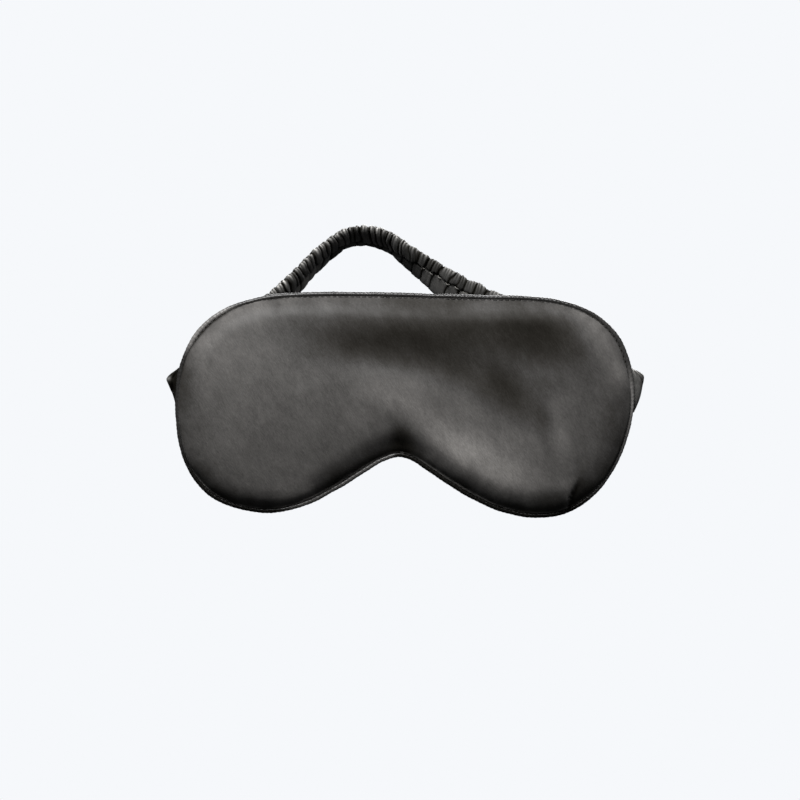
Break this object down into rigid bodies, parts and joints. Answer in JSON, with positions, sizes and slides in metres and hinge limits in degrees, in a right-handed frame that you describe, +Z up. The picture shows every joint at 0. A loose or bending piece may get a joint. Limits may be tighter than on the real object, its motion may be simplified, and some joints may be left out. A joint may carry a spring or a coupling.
{
  "type": "sleep eye mask",
  "caption": "Padded satin sleep eye mask with a shaped nose notch, a piped edge and a gathered elastic strap that swings and stretches behind the head.",
  "frame": {"origin": "on the flat of the back panel, which faces the wearer, level with the two side seams that hold the strap and about midway between them", "axes": "+X to the right as seen from the front, across the mask; +Y out of the back, towards the wearer's face; +Z up, towards the forehead"},
  "size_m": [0.218, 0.0664, 0.1342],
  "materials": {
    "satin_front": "charcoal silk satin with a soft sheen",
    "satin_back": "charcoal silk satin, a shade flatter on the face side",
    "lining": "matte black tightly woven blackout cloth",
    "wadding": "matte off-white wadding",
    "piping": "dark charcoal satin cut on the bias",
    "cord": "matte black twisted cord",
    "thread": "charcoal polyester sewing thread",
    "strap_satin": "charcoal satin gathered into close pleats",
    "elastic": "matte black woven elastic"
  },
  "bodies": {
    "mask": {"front_panel": "satin_front", "back_panel": "satin_back", "blackout_lining": "lining", "wadding_pad": "wadding", "piping_cover": "piping", "piping_cord": "cord", "seam_thread": "thread", "bar_tack_left": "thread", "bar_tack_right": "thread", "strap_end_left": "strap_satin", "strap_end_right": "strap_satin"},
    "strap": {"strap_cover_left": "strap_satin", "strap_cover_right": "strap_satin", "strap_elastic": "elastic"},
    "strap_crown": {"strap_cover_crown": "strap_satin"}
  },
  "joints": [
    {"name": "strap_swing", "type": "hinge", "parent": "mask", "child": "strap", "pos_m": [0, -0.0032, 0], "axis": [1, 0, 0], "range_deg": [-116, 10], "deforming": ["strap_end_left", "strap_end_right", "strap_elastic"]},
    {"name": "strap_stretch", "type": "slide", "parent": "strap", "child": "strap_crown", "axis": [0, 0.5299, 0.848], "range_m": [0, 0.06], "stiffness_N_per_m": 30, "deforming": ["strap_elastic"]}
  ]
}
